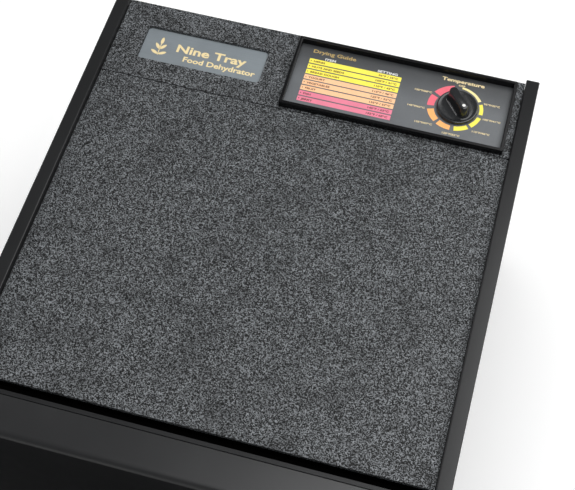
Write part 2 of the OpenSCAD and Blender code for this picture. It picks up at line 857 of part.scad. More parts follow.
// Tubular ring, each end in a sleeve with a terminal pin below it
module heater_element() {
    color("#77706a") {
        translate([0, heater_y, fan_z]) rotate([90, 0, 0]) rotate(heater_gap / 2 - 90)
            rotate_extrude(angle = 360 - heater_gap) translate([heater_ring_r, 0]) circle(heater_r);
        for (sx = [-1, 1]) translate([sx * leg_x, heater_y, leg_z]) {
            translate([0, 0, -sleeve_h]) cylinder(h = sleeve_h + sleeve_r, r = sleeve_r);
            translate([0, 0, -leg_len]) cylinder(h = leg_len, r = pin_r);
        }
    }
}

// Ceramic posts that hold the ring off the baffle
module element_clips() {
    color("#e4e0d6") for (t = clip_turns) difference() {
        about_fan(t) box([heater_ring_r - clip_d / 2, y_baffle_back, -clip_w / 2],
            [heater_ring_r + clip_d / 2, heater_y + heater_r + clip_over, clip_w / 2]);
        translate([0, heater_y, fan_z]) rotate([90, 0, 0])
            rotate_extrude() translate([heater_ring_r, 0]) circle(heater_r + run_gap);
    }
}

module thermal_cutout() {
    color("#d8d3c2") {
        rod_y([cutout_x, y_baffle_back, cutout_z], cutout_h, cutout_r);
        for (sx = [-1, 1])
            translate([cutout_x + sx * cutout_tab_x, y_baffle_back + cutout_h - eps, cutout_z])
                translate([-tab_t / 2, 0, -tab_w / 2]) cube([tab_t, tab_h, tab_w]);
    }
}

module terminal_block() {
    color("#e6e2d4") difference() {
        box([inlet_x - block_w / 2, y_cover_in - block_d, block_z - block_h / 2],
            [inlet_x + block_w / 2, y_cover_in, block_z + block_h / 2]);
        for (k = [-1, 0, 1])
            rod_y([inlet_x, y_cover_in - block_d - cut, block_z + k * block_hole_pitch],
                block_d / 2, block_hole_r);
    }
}

module cord_gland() {
    color("#18191a") difference() {
        union() {
            rod_y([inlet_x, y_cover, inlet_z], cover_inset, gland_flange_r);
            rod_y([inlet_x, y_cover_in - gland_len, inlet_z], gland_len + cover_t + eps, gland_body_r);
        }
        rod_y([inlet_x, y_cover_in - gland_len - cut, inlet_z],
            gland_len + cover_t + cover_inset + 2 * cut, inlet_r);
    }
}

module gland_nut() {
    color("#18191a") translate([inlet_x, y_cover_in - gland_nut_h, inlet_z]) rotate([-90, 0, 0])
        difference() {
            cylinder(h = gland_nut_h, r = gland_nut_r, $fn = 6);
            translate([0, 0, -cut]) cylinder(h = gland_nut_h + 2 * cut, r = gland_body_r + run_gap);
        }
}

module wiring_loom() {
    color("#b8322a") for (points = WIRES) wire_run(points);
}

// ---- feet and screws ----

module rubber_feet() {
    color("#101112") for (sx = [-1, 1], y = foot_ys)
        translate([sx * foot_x, y, 0]) difference() {
            cylinder(h = foot_h, r = foot_r);
            translate([0, 0, -cut]) cylinder(h = foot_h + 2 * cut, r = screw_r);
            translate([0, 0, -cut]) cylinder(h = foot_recess_h + cut, r = foot_recess_r);
        }
}

module foot_screws() {
    color("#c8cacc") for (sx = [-1, 1], y = foot_ys) translate([sx * foot_x, y, foot_recess_h]) {
        translate([0, 0, -screw_head_h]) cylinder(h = screw_head_h, r = screw_head_r);
        translate([0, 0, -eps]) cylinder(h = floor_top_z - foot_recess_h, r = screw_r - screw_play);
    }
}

module back_cover_screws() {
    color("#c8cacc") for (sx = [-1, 1], z = cover_screw_z)
        screw_y([sx * cover_screw_x, y_cover, z], cover_screw_len);
}

module shroud_screws() {
    color("#c8cacc") for (t = shroud_screw_turns) about_fan(t)
        screw_y([shroud_screw_r, y_cover, 0], shroud_screw_len);
}

side_panel_left();
side_panel_right();
top_panel();
bottom_panel();
rear_hood();
front_frame();
door_panel();
badge_plate();
control_bezel();
control_panel();
temperature_knob();
thermostat_body();
thermostat_shaft();
thermostat_nut();
for (i = TRAYS) {
    tray(i);
    mesh_screen(i);
}
air_baffle();
back_cover();
fan_shroud();
fan_blade();
fan_retainer();
motor_shaft();
motor_rotor();
motor_stator();
motor_coil();
motor_end_plate_front();
motor_end_plate_rear();
bearing_front();
bearing_rear();
motor_bolts();
heater_element();
element_clips();
thermal_cutout();
terminal_block();
cord_gland();
gland_nut();
wiring_loom();
rubber_feet();
foot_screws();
back_cover_screws();
shroud_screws();
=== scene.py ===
"""Nine-tray food dehydrator: its finishes, its finer pieces, a studio stage and a camera."""

import json
import math

import bmesh
import bpy
from bpy.props import FloatProperty, FloatVectorProperty, IntProperty, PointerProperty
from mathutils import Matrix, Quaternion, Vector

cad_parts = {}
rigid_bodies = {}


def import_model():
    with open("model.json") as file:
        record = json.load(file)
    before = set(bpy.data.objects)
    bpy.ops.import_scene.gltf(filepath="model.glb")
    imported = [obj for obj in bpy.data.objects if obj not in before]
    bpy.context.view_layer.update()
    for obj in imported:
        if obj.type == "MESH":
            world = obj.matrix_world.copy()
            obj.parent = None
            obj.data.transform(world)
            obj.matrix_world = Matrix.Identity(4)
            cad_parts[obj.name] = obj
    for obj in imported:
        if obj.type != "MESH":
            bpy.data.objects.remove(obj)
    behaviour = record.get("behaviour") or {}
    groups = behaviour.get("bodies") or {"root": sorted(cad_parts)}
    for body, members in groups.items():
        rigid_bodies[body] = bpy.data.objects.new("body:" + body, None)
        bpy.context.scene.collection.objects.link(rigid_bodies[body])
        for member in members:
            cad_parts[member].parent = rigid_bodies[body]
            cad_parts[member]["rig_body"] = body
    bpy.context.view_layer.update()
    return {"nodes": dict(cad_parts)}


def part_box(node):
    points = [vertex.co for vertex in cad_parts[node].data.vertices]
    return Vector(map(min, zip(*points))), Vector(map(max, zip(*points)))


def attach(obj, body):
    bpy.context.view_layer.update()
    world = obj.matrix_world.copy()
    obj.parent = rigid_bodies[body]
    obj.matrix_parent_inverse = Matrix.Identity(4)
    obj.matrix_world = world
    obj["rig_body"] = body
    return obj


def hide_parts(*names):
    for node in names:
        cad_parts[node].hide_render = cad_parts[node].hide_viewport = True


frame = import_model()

bl_info = {
    "name": "Food dehydrator",
    "version": (1, 0, 0),
    "blender": (4, 5, 0),
    "location": "3D View > Sidebar > Dehydrator",
    "description": "Builds the finishes and the finer pieces of a nine-tray food dehydrator",
    "category": "Object",
}

MM = 0.001
NODES = frame["nodes"]
SLOTS = {name: node.data.materials[0].name for name, node in NODES.items()}
BODIES = {name: node["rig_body"] for name, node in NODES.items()}
TRAYS = range(1, 10)

# Height of a capital of the built-in font at size 1, and how the letters are made bolder and wider
CAP_HEIGHT = 0.729
BOLD = 0.028
LETTER_WIDTH = 1.36

# Steps in the arc of a printed corner
ARC_STEPS = 4

# Corners closer than this are one corner
MERGE = 0.002 * MM

# Edges flatter than the first angle are dissolved, those up to the second lie in curved faces, and
# those past the third are rounded or stay sharp
FLAT_ANGLE = math.radians(1)
CURVE_ANGLE = math.radians(20)
SHARP_ANGLE = math.radians(30)

# Nodes whose edges are rounded, with the radius in millimetres and the number of steps
ROUNDED = {
    "side_panel_left": (0.5, 2), "side_panel_right": (0.5, 2), "top_panel": (0.35, 2),
    "rear_hood": (0.4, 2), "front_frame": (0.5, 2), "door_panel": (0.8, 3),
    "badge_plate": (0.3, 2), "control_bezel": (0.7, 3), "control_panel": (0.2, 1),
    "bottom_panel": (0.5, 1), "back_cover": (0.35, 2), "air_baffle": (0.25, 1),
    "fan_shroud": (0.4, 2), "motor_stator": (0.25, 1), "motor_coil": (1.4, 3),
    "motor_end_plate_front": (0.3, 1), "motor_end_plate_rear": (0.3, 1),
    "thermostat_body": (0.3, 2), "thermal_cutout": (0.3, 2), "terminal_block": (0.6, 2),
    "element_clips": (0.5, 2), "cord_gland": (0.5, 2), "gland_nut": (0.4, 2),
    "rubber_feet": (1.0, 3), "thermostat_nut": (0.2, 1), "fan_retainer": (0.4, 2),
}

# Screws, and the way that their heads face
SCREWS = {
    "back_cover_screws": (0, 1, 0), "shroud_screws": (0, 1, 0),
    "foot_screws": (0, 0, -1), "motor_bolts": (0, -1, 0),
}

# The guide's rows from the top: food, setting, and which ink the row is printed in
GUIDE = [
    ("HERBS", "95°F / 35°C", "ink_yellow"),
    ("NUTS AND SEEDS", "105°F / 41°C", "ink_yellow"),
    ("BREAD DOUGH", "110°F / 43°C", "ink_yellow"),
    ("YOGURT", "115°F / 46°C", "ink_peach"),
    ("VEGETABLES", "125°F / 52°C", "ink_peach"),
    ("FRUIT", "135°F / 57°C", "ink_peach"),
    ("FISH", "145°F / 63°C", "ink_pink"),
    ("JERKY", "155°F / 68°C", "ink_pink"),
]

# The dial's segments clockwise: first and last angle in degrees, ink
DIAL = [
    (85, 32, "ink_cream"), (24, -4, "ink_yellow"), (-13, -44, "ink_yellow"),
    (-51, -82, "ink_yellow"), (-91, -122, "ink_orange"), (-129, -163, "ink_orange"),
    (-173, -203.5, "ink_rose"), (-212, -258, "ink_rose"),
]

# The dial's figures: words, millimetres from the knob's axis, and the side that is fixed
FIGURES = [
    ("95°F/35°C", (24.0, 12.6), "LEFT"), ("105°F/41°C", (25.9, -5.8), "LEFT"),
    ("115°F/46°C", (18.4, -22.7), "LEFT"), ("125°F/52°C", (-0.1, -31.6), "CENTER"),
    ("135°F/57°C", (-19.4, -25.2), "RIGHT"), ("145°F/63°C", (-30.1, -7.4), "RIGHT"),
    ("155°F/68°C", (-27.2, 12.9), "RIGHT"), ("OFF", (-0.6, 28.6), "CENTER"),
]

# Printing inks, in linear light
INKS = {
    "ink_gold": (0.42, 0.30, 0.11), "ink_white": (0.75, 0.76, 0.76),
    "ink_dark": (0.10, 0.03, 0.02), "ink_cream": (0.86, 0.74, 0.34),
    "ink_yellow": (0.92, 0.80, 0.08), "ink_peach": (0.92, 0.53, 0.29),
    "ink_pink": (0.76, 0.20, 0.29), "ink_orange": (0.94, 0.42, 0.13),
    "ink_rose": (0.80, 0.13, 0.18), "ink_pale_gold": (0.78, 0.63, 0.34),
    "knob_white": (0.80, 0.80, 0.78),
}


class DehydratorSizes(bpy.types.PropertyGroup):
    """Sizes of the finer pieces."""

    net_pitch: FloatProperty(
        name="Net pitch", description="Spacing of the strands of a tray's net",
        default=3.2 * MM, min=1.5 * MM, max=8 * MM, subtype="DISTANCE")
    net_strand: FloatProperty(
        name="Net strand", description="Thickness of one strand of the net",
        default=0.65 * MM, min=0.2 * MM, max=0.9 * MM, subtype="DISTANCE")
    net_hem: FloatProperty(
        name="Net hem", description="Width of the band round the net",
        default=3 * MM, min=1 * MM, max=8 * MM, subtype="DISTANCE")
    print_depth: FloatProperty(
        name="Print depth", description="Height of the printed ink above the film",
        default=0.06 * MM, min=0.02 * MM, max=0.3 * MM, subtype="DISTANCE")
    dial_radius: FloatProperty(
        name="Dial radius", description="Outer radius of the ring of coloured segments",
        default=27.2 * MM, min=22 * MM, max=32 * MM, subtype="DISTANCE")
    grip_turn: FloatProperty(
        name="Grip turn", description="Direction of the knob's grip from the right, at rest",
        default=math.radians(-51.5), subtype="ANGLE")
    blade_count: IntProperty(
        name="Blades", description="Number of fan blades", default=5, min=3, max=9)


class DehydratorColours(bpy.types.PropertyGroup):
    """Main colours, in linear light."""

    grain: FloatVectorProperty(
        name="Grain", description="Mean colour of the pebbled top",
        default=(0.128, 0.136, 0.144), size=3, min=0, max=1, subtype="COLOR")
    moulding: FloatVectorProperty(
        name="Moulding", description="Colour of the black mouldings",
        default=(0.0052, 0.0055, 0.0061), size=3, min=0, max=1, subtype="COLOR")
    film: FloatVectorProperty(
        name="Panel film", description="Colour of the control panel's film",
        default=(0.098, 0.105, 0.112), size=3, min=0, max=1, subtype="COLOR")
    badge: FloatVectorProperty(
        name="Badge", description="Colour of the badge plate",
        default=(0.195, 0.222, 0.240), size=3, min=0, max=1, subtype="COLOR")


def sizes():
    """The scene's sizes."""
    return bpy.context.scene.dehydrator_sizes


def colours():
    """The scene's colours."""
    return bpy.context.scene.dehydrator_colours


# ---- node trees ----


class Value:
    """An output in a finish's node tree, which Python arithmetic can extend."""

    def __init__(self, graph, socket):
        self.graph = graph
        self.socket = socket

    def math(self, operation, first, second=0.0):
        """The value of an operation on one or two values."""
        return self.graph.add("ShaderNodeMath", {"operation": operation}, {0: first, 1: second})

    def __add__(self, other):
        return self.math("ADD", self, other)

    def __radd__(self, other):
        return self.math("ADD", other, self)

    def __sub__(self, other):
        return self.math("SUBTRACT", self, other)

    def __rsub__(self, other):
        return self.math("SUBTRACT", other, self)

    def __mul__(self, other):
        return self.math("MULTIPLY", self, other)

    def __abs__(self):
        return self.math("ABSOLUTE", self)


class Graph:
    """The node tree of one finish. Patterns are sized in millimetres on Object coordinates."""

    def __init__(self, name):
        self.material = bpy.data.materials.get(name) or bpy.data.materials.new(name)
        self.material.use_nodes = True
        self.tree = self.material.node_tree
        self.tree.nodes.clear()

    def add(self, kind, settings, sockets, output=0):
        """A node with its settings made first, then its sockets, each a value or a link."""
        node = self.tree.nodes.new(kind)
        stops = settings.pop("stops", None)
        for name, value in settings.items():
            setattr(node, name, value)
        for index, (place, colour) in enumerate(stops or []):
            elements = node.color_ramp.elements
            stop = elements[index] if index < 2 else elements.new(place)
            stop.position = place
            stop.color = (*colour, 1)
        for name, value in sockets.items():
            if isinstance(value, Value):
                self.tree.links.new(value.socket, node.inputs[name])
            else:
                node.inputs[name].default_value = value
        return Value(self, node.outputs[output]) if node.outputs else None

    def place(self, stretch=(1, 1, 1)):
        """Object coordinates in millimetres, with each axis scaled by stretch."""
        point = self.add("ShaderNodeTexCoord", {}, {}, "Object")
        scale = [1000 * share for share in stretch]
        return self.add("ShaderNodeMapping", {}, {"Vector": point, "Scale": scale})

    def noise(self, point, size, detail=2.0):
        """Soft noise from 0 to 1 whose features are about size millimetres."""
        return self.add("ShaderNodeTexNoise", {},
                        {"Vector": point, "Scale": 1 / size, "Detail": detail})

    def cells(self, point, size, output="Distance"):
        """Cells about size millimetres across."""
        return self.add("ShaderNodeTexVoronoi", {}, {"Vector": point, "Scale": 1 / size}, output)

    def chance(self, point, size):
        """One random value from 0 to 1 in each cell."""
        colour = self.cells(point, size, output="Color")
        return self.add("ShaderNodeSeparateColor", {}, {"Color": colour})

    def lines(self, point, pitch, axis):
        """Waves from 0 to 1 across axis that repeat at pitch millimetres, and unscaled at pi / 10."""
        return self.add("ShaderNodeTexWave", {"bands_direction": axis},
                        {"Vector": point, "Scale": math.pi / 10 / pitch}, "Fac")

    def ease(self, value, low, high, to_low=0.0, to_high=1.0):
        """Turns value from low to high smoothly into to_low to to_high."""
        return self.add("ShaderNodeMapRange", {"interpolation_type": "SMOOTHSTEP"},
                        {"Value": value, "From Min": low, "From Max": high,
                         "To Min": to_low, "To Max": to_high})

    def along(self, point, axis):
        """One coordinate of a point."""
        return self.add("ShaderNodeSeparateXYZ", {}, {"Vector": point}, axis)

    def tone(self, colour, share):
        """The colour with its brightness multiplied by share."""
        return self.add("ShaderNodeVectorMath", {"operation": "SCALE"},
                        {0: colour[:3], "Scale": share})

    def ramp(self, value, stops):
        """Colours along value."""
        return self.add("ShaderNodeValToRGB", {"stops": stops}, {"Fac": value})

    def bump(self, height, depth, strength):
        """Normals of a height from 0 to 1 that stands depth millimetres high."""
        return self.add("ShaderNodeBump", {},
                        {"Height": height, "Distance": depth * MM, "Strength": strength})

    def shader(self, sockets):
        """The main shader."""
        return self.add("ShaderNodeBsdfPrincipled", {}, sockets)

    def end(self, shader):
        """Ends the tree with a shader."""
        self.add("ShaderNodeOutputMaterial", {}, {"Surface": shader})

    def surface(self, sockets):
        """Ends the tree with the main shader."""
        self.end(self.shader(sockets))


# ---- finishes ----


def grained_top(graph):
    """Pebble-grained satin moulding with mottling and faint creases, with painted light in its colour:
    painted glints on the pebbles' tops, and painted shade in the gaps between them and in the creases.
    """
    point = graph.place()
    pebble = graph.ease(graph.noise(point, 1.1, 1), 0.44, 0.57)
    shade = graph.chance(point, 1.5)
    mottle = graph.ease(graph.noise(point, 30, 4), 0.3, 0.52, 0.76, 1.05)
    crease = graph.ease(abs(graph.noise(graph.place((0.7, 1.5, 1)), 22, 3) - 0.5), 0, 0.014)
    # Painted light: the bright pebble tops are painted glints and the dark gaps between them are
    # painted shade; the mottle is the moulding's own uneven tone
    share = (0.01 + pebble * (0.36 + shade * 1.2)) * mottle
    height = pebble * (0.6 + shade * 0.4) + crease * 0.4
    graph.surface({
        # Painted shade: the colour falls to 0.72 along the creases
        "Base Color": graph.tone(colours().grain, share * (0.72 + crease * 0.28)),
        "Roughness": 0.6 - pebble * 0.2,
        "Specular IOR Level": 0.25,
        "Normal": graph.bump(height, 0.2, 0.8),
    })


def black_moulding(graph, colour, size, depth, rough, shine=0.38):
    """Satin black moulding with a fine stipple and a slow change of gloss."""
    point = graph.place()
    stipple = graph.ease(graph.cells(point, size), 0.1, 0.7)
    cloud = graph.noise(point, 55, 3)
    haze = graph.noise(graph.place((1, 0.25, 1)), 9, 4)
    return graph.shader({
        "Base Color": graph.tone(colour, 0.75 + stipple * 0.3 + cloud * 0.35),
        "Roughness": rough + cloud * 0.08 + haze * 0.07 - stipple * 0.05,
        "Specular IOR Level": shine,
        "Normal": graph.bump(stipple + haze * 0.3, depth, 0.6),
    })


def case_plastic(graph):
    """Moulding of the walls and the rails."""
    graph.end(black_moulding(graph, colours().moulding, 0.55, 0.025, 0.36))


def frame_black(graph):
    """The front frame's moulding: satin on the lip, and painted shade down in the channel, a near-black
    matt surface that stands for the shadow there.
    """
    satin = black_moulding(graph, colours().moulding, 0.55, 0.02, 0.34)
    # Painted shade: below the lip the channel turns near-black and matt, standing for its shadow
    channel_painted_shade = graph.add("ShaderNodeBsdfDiffuse", {}, {"Color": (0.001, 0.001, 0.001, 1)})
    lip_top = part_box("front_frame")[1].z / MM
    height = graph.along(graph.place(), "Z")
    lip = graph.ease(height, lip_top - 2.2, lip_top - 1.2)
    graph.end(graph.add("ShaderNodeMixShader", {}, {0: lip, 1: channel_painted_shade, 2: satin}))


def door_plastic(graph):
    """Smoother and glossier moulding of the door."""
    paler = [share * 1.3 for share in colours().moulding]
    graph.end(black_moulding(graph, paler, 0.4, 0.012, 0.36, 0.58))


def gloss_black(graph):
    """Polished black moulding with a trace of dust and hairline wear."""
    point = graph.place()
    dust = graph.ease(graph.noise(point, 0.6, 4), 0.62, 0.75)
    hairline = graph.ease(graph.noise(graph.place((0.15, 2.5, 1)), 1.1, 2), 0.6, 0.72)
    graph.surface({
        "Base Color": graph.tone((0.0035, 0.0037, 0.0042), 1 + dust * 2.2),
        "Roughness": 0.24 + dust * 0.15 + hairline * 0.06,
        "Specular IOR Level": 0.22,
        "Normal": graph.bump(graph.noise(point, 7, 1), 0.02, 0.4),
    })


def knob_black(graph):
    """Glossy dark moulding of the knob, a little worn."""
    point = graph.place()
    wear = graph.noise(point, 4, 4)
    graph.surface({
        "Base Color": graph.tone((0.013, 0.014, 0.0155), 0.8 + wear * 0.4),
        "Roughness": 0.13 + wear * 0.1,
        "Normal": graph.bump(graph.noise(point, 0.7, 2), 0.006, 0.4),
    })


def panel_film(graph):
    """Matt printed film with a fine tooth, and painted shade that darkens it towards its back edge."""
    point = graph.place()
    tooth = graph.cells(point, 0.5)
    cloud = graph.noise(point, 24, 3)
    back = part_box("control_panel")[1].y / MM
    # Painted shade: the film's colour falls to 0.35 of itself at its back edge
    shade = graph.ease(graph.along(point, "Y"), back - 46, back - 2, 1, 0.35)
    graph.surface({
        "Base Color": graph.tone(colours().film, (0.76 + tooth * 0.25 + cloud * 0.4) * shade),
        "Roughness": 0.36 + tooth * 0.08 + cloud * 0.06,
        "Normal": graph.bump(tooth, 0.012, 0.6),
    })


def badge_film(graph):
    """Blue-grey satin plate, faintly brushed along its length."""
    point = graph.place()
    brushed = graph.noise(graph.place((0.04, 3, 1)), 0.8, 3)
    cloud = graph.noise(point, 30, 2)
    graph.surface({
        "Base Color": graph.tone(colours().badge, 0.66 + brushed * 0.4 + cloud * 0.3),
        "Metallic": 0.25,
        "Roughness": 0.38 + brushed * 0.12,
        "Normal": graph.bump(brushed, 0.01, 0.5),
    })


def tray_plastic(graph):
    """Dark tray moulding with flow marks."""
    point = graph.place()
    flow = graph.noise(graph.place((0.3, 0.3, 1)), 12, 4)
    tooth = graph.cells(point, 0.6)
    graph.surface({
        "Base Color": graph.tone((0.021, 0.0215, 0.023), 0.7 + flow * 0.5 + tooth * 0.15),
        "Roughness": 0.4 + flow * 0.14,
        "Normal": graph.bump(tooth + flow * 0.5, 0.02, 0.5),
    })


def screen_mesh(graph):
    """Drawn plastic strands of the nets."""
    point = graph.place()
    drawn = graph.noise(graph.place((0.2, 0.2, 2)), 1.2, 3)
    graph.surface({
        "Base Color": graph.tone((0.15, 0.155, 0.16), 0.75 + drawn * 0.5),
        "Roughness": 0.42 + drawn * 0.12,
        "Subsurface Weight": 0.05,
        "Normal": graph.bump(graph.noise(point, 0.4, 2), 0.02, 0.5),
    })


def sheet_steel(graph):
    """Zinc-coated sheet with its spangle."""
    point = graph.place()
    spangle = graph.chance(graph.place((1, 1, 0.7)), 7.5)
    streak = graph.noise(graph.place((0.1, 1, 2)), 3, 3)
    graph.surface({
        "Base Color": graph.tone((0.56, 0.57, 0.58), 0.72 + spangle * 0.3 + streak * 0.12),
        "Metallic": 0.92,
        "Roughness": 0.3 + spangle * 0.14 + streak * 0.1,
        "Normal": graph.bump(graph.noise(point, 1.2, 2), 0.02, 0.5),
    })


def cover_plastic(graph):
    """Powder-coated rear wall with an orange-peel skin."""
    point = graph.place()
    peel = graph.noise(point, 0.9, 2)
    cloud = graph.noise(point, 45, 3)
    graph.surface({
        "Base Color": graph.tone((0.019, 0.0195, 0.021), 0.75 + peel * 0.25 + cloud * 0.3),
        "Roughness": 0.46 + cloud * 0.1,
        "Normal": graph.bump(peel, 0.09, 0.8),
    })


def bare_metal(graph, colour, rough, stretch):
    """Bare metal with drawing marks that run along the axis with the smallest stretch."""
    point = graph.place()
    drawn = graph.noise(graph.place(stretch), 0.9, 3)
    stain = graph.noise(point, 14, 4)
    graph.surface({
        "Base Color": graph.tone(colour, 0.8 + drawn * 0.22 + stain * 0.16),
        "Metallic": 1.0,
        "Roughness": rough + drawn * 0.1 + stain * 0.12,
        "Normal": graph.bump(drawn, 0.012, 0.5),
    })


def fan_alloy(graph):
    """Rolled aluminium of the fan."""
    bare_metal(graph, (0.68, 0.69, 0.70), 0.24, (2, 0.15, 2))


def screw_steel(graph):
    """Plated steel of screws and shafts."""
    bare_metal(graph, (0.52, 0.53, 0.53), 0.2, (2, 0.3, 2))


def heater_sheath(graph):
    """Steel tube with its heat tint."""
    point = graph.place()
    heat = graph.noise(point, 16, 3)
    tint = graph.ramp(heat, [(0.3, (0.16, 0.15, 0.17)), (0.55, (0.30, 0.24, 0.17)),
                             (0.75, (0.20, 0.15, 0.19))])
    graph.surface({
        "Base Color": tint,
        "Metallic": 0.9,
        "Roughness": 0.34 + heat * 0.2,
        "Normal": graph.bump(graph.noise(point, 0.7, 2), 0.02, 0.5),
    })


def motor_iron(graph):
    """Varnished stack of iron sheets."""
    point = graph.place()
    sheets = graph.lines(point, 0.5, "Y")
    varnish = graph.noise(point, 6, 3)
    graph.surface({
        "Base Color": graph.tone((0.11, 0.105, 0.10), 0.6 + sheets * 0.3 + varnish * 0.5),
        "Metallic": 0.7,
        "Roughness": 0.36 + varnish * 0.16,
        "Normal": graph.bump(sheets, 0.06, 0.7),
    })


def copper_winding(graph):
    """Enamelled turns laid side by side."""
    turns = graph.lines(graph.place(), 0.9, "X")
    amber = graph.noise(graph.place(), 5, 2)
    graph.surface({
        "Base Color": graph.tone((0.50, 0.17, 0.06), 0.45 + turns * 0.5 + amber * 0.3),
        "Metallic": 0.75,
        "Roughness": 0.26 + amber * 0.1,
        "Coat Weight": 0.4,
        "Normal": graph.bump(turns, 0.22, 0.8),
    })


def bronze(graph):
    """Sintered bearing bronze with open pores."""
    point = graph.place()
    pores = graph.ease(graph.cells(point, 0.5), 0.12, 0.3)
    graph.surface({
        "Base Color": graph.tone((0.47, 0.29, 0.12), 0.55 + pores * 0.5),
        "Metallic": 0.95,
        "Roughness": 0.46 - pores * 0.12,
        "Normal": graph.bump(pores, 0.05, 0.6),
    })


def ceramic(graph):
    """Fired, unglazed ceramic with fine specks."""
    point = graph.place()
    specks = graph.ease(graph.noise(point, 0.5, 3), 0.66, 0.72)
    cloud = graph.noise(point, 8, 2)
    graph.surface({
        "Base Color": graph.tone((0.74, 0.71, 0.62), 0.86 + cloud * 0.2 - specks * 0.4),
        "Roughness": 0.5 + cloud * 0.12,
        "Normal": graph.bump(graph.noise(point, 0.6, 3), 0.03, 0.5),
    })


def rubber_black(graph):
    """Matt rubber with a dusty bloom."""
    point = graph.place()
    bloom = graph.noise(point, 5, 4)
    graph.surface({
        "Base Color": graph.tone((0.015, 0.015, 0.016), 0.6 + bloom * 1.1),
        "Roughness": 0.68 + bloom * 0.16,
        "Normal": graph.bump(graph.noise(point, 0.5, 2), 0.05, 0.7),
    })


def wire_sleeve(graph):
    """Braided glass sleeve over the wires."""
    across = graph.lines(graph.place(), 1.1, "DIAGONAL")
    back = graph.lines(graph.place((-1, 1, 1)), 1.1, "DIAGONAL")
    graph.surface({
        "Base Color": graph.tone((0.42, 0.035, 0.028), 0.6 + across * 0.35 + back * 0.35),
        "Roughness": 0.5 + across * 0.1,
        "Normal": graph.bump(across * back, 0.12, 0.7),
    })


def printing_ink(graph, colour):
    """Screen-printed ink, a little uneven."""
    point = graph.place()
    spread = graph.noise(point, 0.5, 3)
    cloud = graph.noise(point, 11, 2)
    graph.surface({
        "Base Color": graph.tone(colour, 0.84 + spread * 0.14 + cloud * 0.18),
        "Roughness": 0.4 + spread * 0.12,
        "Normal": graph.bump(spread, 0.01, 0.4),
    })


FINISHES = [
    grained_top, case_plastic, door_plastic, frame_black, gloss_black, knob_black, panel_film,
    badge_film, tray_plastic, screen_mesh, sheet_steel, cover_plastic, fan_alloy, screw_steel,
    heater_sheath, motor_iron, copper_winding, bronze, ceramic, rubber_black, wire_sleeve,
]


# ---- making pieces ----


def piece(name, shape, material, body, replaced=()):
    """Ends a bmesh as a finished piece: outward normals, its finish and its body."""
    bmesh.ops.recalc_face_normals(shape, faces=shape.faces)
    mesh = bpy.data.meshes.new(name)
    shape.to_mesh(mesh)
    shape.free()
    mesh.materials.append(bpy.data.materials[material])
    made = bpy.data.objects.new(name, mesh)
    bpy.context.scene.collection.objects.link(made)
    material in SLOTS.values()
    if replaced:
        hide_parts(*replaced)
    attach(made, body)
    return made


def merged(node):
    """The node's mesh with its loose triangles joined into whole flat faces."""
    shape = bmesh.new()
    shape.from_mesh(NODES[node].data)
    bmesh.ops.remove_doubles(shape, verts=shape.verts, dist=MERGE)
    bmesh.ops.dissolve_limit(shape, angle_limit=FLAT_ANGLE, verts=shape.verts, edges=shape.edges)
    return shape


def round_edges(shape, radius, steps):
    """Rounds the sharp edges, and marks the rounds and the curved faces as smooth."""
    shape.normal_update()
    angles = {edge: edge.calc_face_angle(0) for edge in shape.edges if edge.is_manifold}
    sharp = [edge for edge, angle in angles.items() if angle > SHARP_ANGLE]
    for edge, angle in angles.items():
        if FLAT_ANGLE < angle < CURVE_ANGLE:
            for face in edge.link_faces:
                face.smooth = True
    made = bmesh.ops.bevel(
        shape, geom=sharp, offset=radius, offset_type="OFFSET", segments=steps, profile=0.5,
        affect="EDGES", clamp_overlap=True, material=-1)
    for face in made["faces"]:
        face.smooth = True


def rounded_node(node, radius, steps):
    """A piece that stands for a node, the same but for its rounded edges."""
    shape = merged(node)
    round_edges(shape, radius * MM, steps)
    return piece(f"{node}_shell", shape, SLOTS[node], BODIES[node], [node])


def add_box(shape, low, high):
    """A box between two corners."""
    low, high = Vector(low), Vector(high)
    place = Matrix.Translation((low + high) / 2) @ Matrix.Diagonal((*(high - low), 1))
    bmesh.ops.create_cube(shape, size=1, matrix=place)


def faces_at(corners):
    """The faces that meet at any of the corners, each once."""
    return list(dict.fromkeys(face for corner in corners for face in corner.link_faces))


def of_kind(parts, kind):
    """The corners, edges or faces among the parts that an operator made."""
    return [part for part in parts if isinstance(part, kind)]


def raise_faces(shape, faces, depth):
    """Makes flat faces into a plate by extruding them upwards."""
    raised = bmesh.ops.extrude_face_region(shape, geom=faces)["geom"]
    bmesh.ops.translate(shape, verts=of_kind(raised, bmesh.types.BMVert), vec=(0, 0, depth))


def add_outline(shape, corners, bottom, depth):
    """A flat plate: the face through the corners, extruded upwards from bottom."""
    ring = [shape.verts.new((x, y, bottom)) for x, y in corners]
    raise_faces(shape, [shape.faces.new(ring)], depth)


def rounded_corners(low, high, radius):
    """Corners of a rectangle whose corners are arcs."""
    centres = [(high[0] - radius, high[1] - radius), (low[0] + radius, high[1] - radius),
               (low[0] + radius, low[1] + radius), (high[0] - radius, low[1] + radius)]
    corners = []
    for quarter, (x, y) in enumerate(centres):
        for step in range(ARC_STEPS + 1):
            turn = math.radians(90 * (quarter + step / ARC_STEPS))
            corners.append((x + radius * math.cos(turn), y + radius * math.sin(turn)))
    return corners


